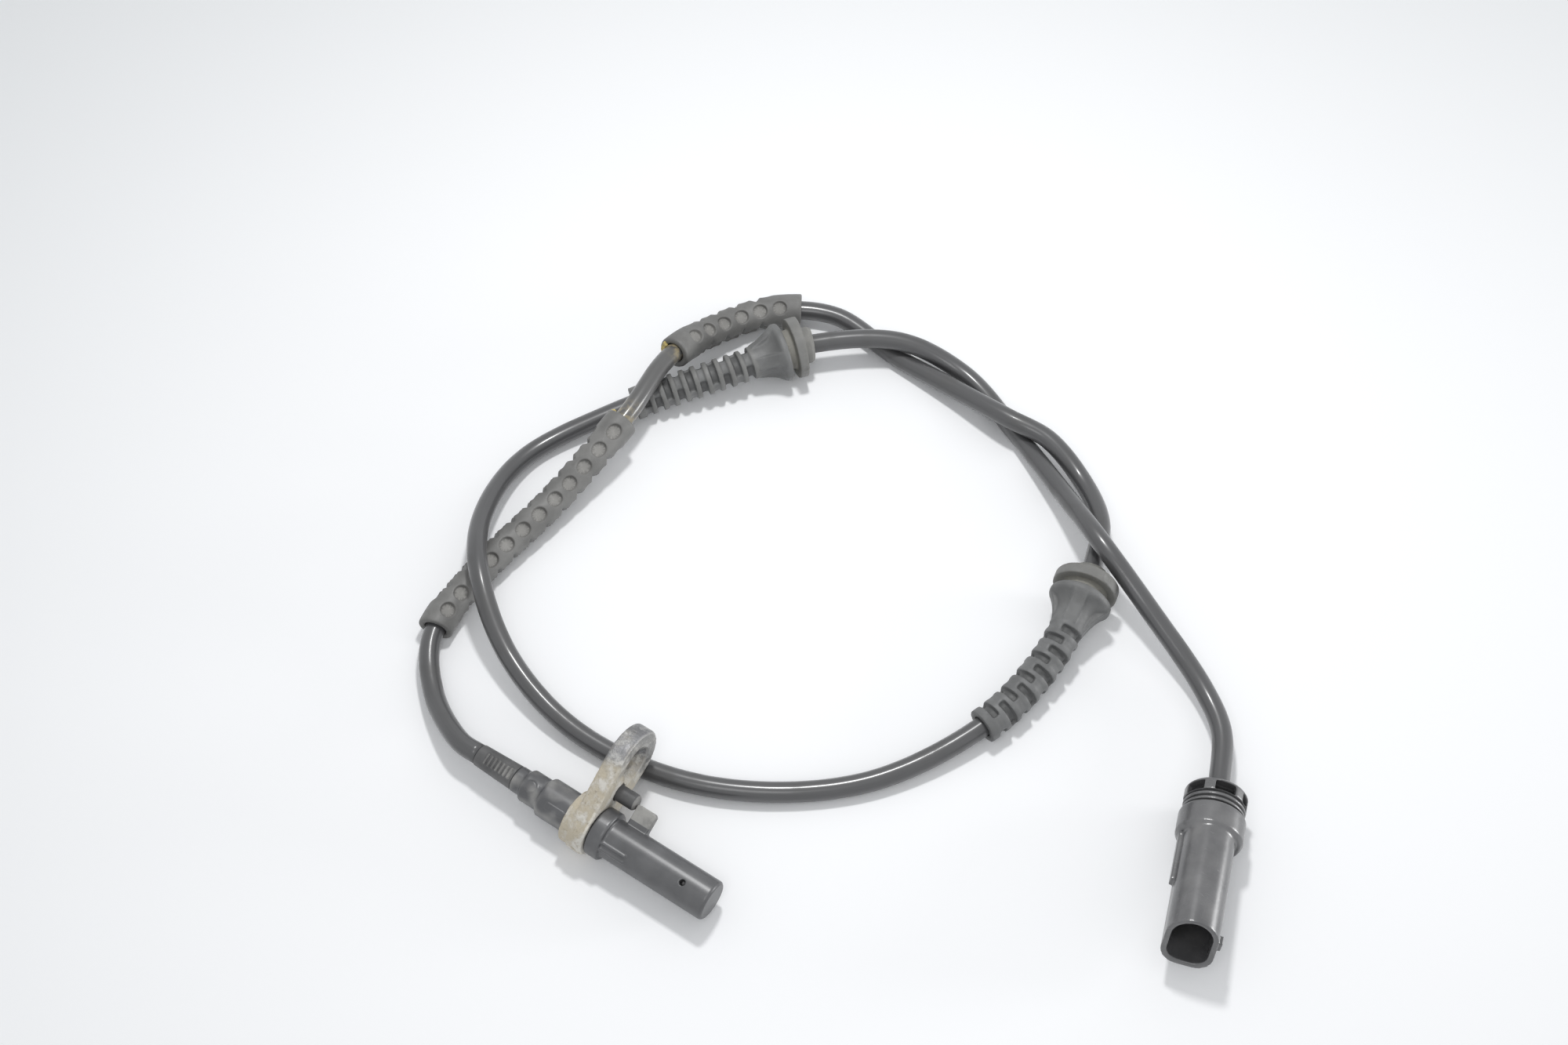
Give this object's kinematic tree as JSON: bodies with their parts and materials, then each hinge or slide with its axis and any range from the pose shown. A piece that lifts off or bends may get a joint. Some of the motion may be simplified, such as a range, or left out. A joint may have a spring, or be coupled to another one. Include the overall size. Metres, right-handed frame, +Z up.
{
  "type": "abs wheel speed sensor",
  "caption": "Straight moulded probe on a rolled two-hole metal flange, with a looped cable that carries dimpled sleeves, slotted bend grommets and an oval plug.",
  "frame": {"origin": "bottom centre of the box round the probe and its flange, on the surface that the part lies on", "axes": "+X along the probe towards its sensing tip, +Y towards the bolt eye's side, +Z up"},
  "size_m": [0.2343, 0.187, 0.0247],
  "materials": {
    "housing": "satin dark grey moulding",
    "flange": "dull steel with tan and white corrosion",
    "peg": "moulded grey",
    "chip": "moulded black",
    "ceramic": "tan ceramic",
    "contact": "plain stamped",
    "core_brown": "insulated core",
    "core_blue": "insulated core",
    "cable": "smooth black jacket with a soft shine",
    "sleeve": "matte grey rubber",
    "grommet": "matte grey rubber",
    "plug": "satin dark grey moulding",
    "seal": "soft grey rubber"
  },
  "bodies": {
    "root": {"sensor_housing": "housing", "mounting_flange": "flange", "locating_peg": "peg", "chip_carrier": "housing", "sensor_chip": "chip", "capacitor": "ceramic", "lead_left": "contact", "lead_right": "contact", "crimp_left": "contact", "crimp_right": "contact", "core_end_left": "core_brown", "core_end_right": "core_blue", "strain_relief": "cable", "cable_jacket": "cable", "long_sleeve": "sleeve", "short_sleeve": "sleeve", "grommet_inner": "grommet", "grommet_outer": "grommet", "plug_cap": "plug", "plug_housing": "plug", "plug_seal": "seal", "plug_core_left": "core_brown", "plug_core_right": "core_blue", "terminal_left": "contact", "terminal_right": "contact"}
  },
  "joints": []
}
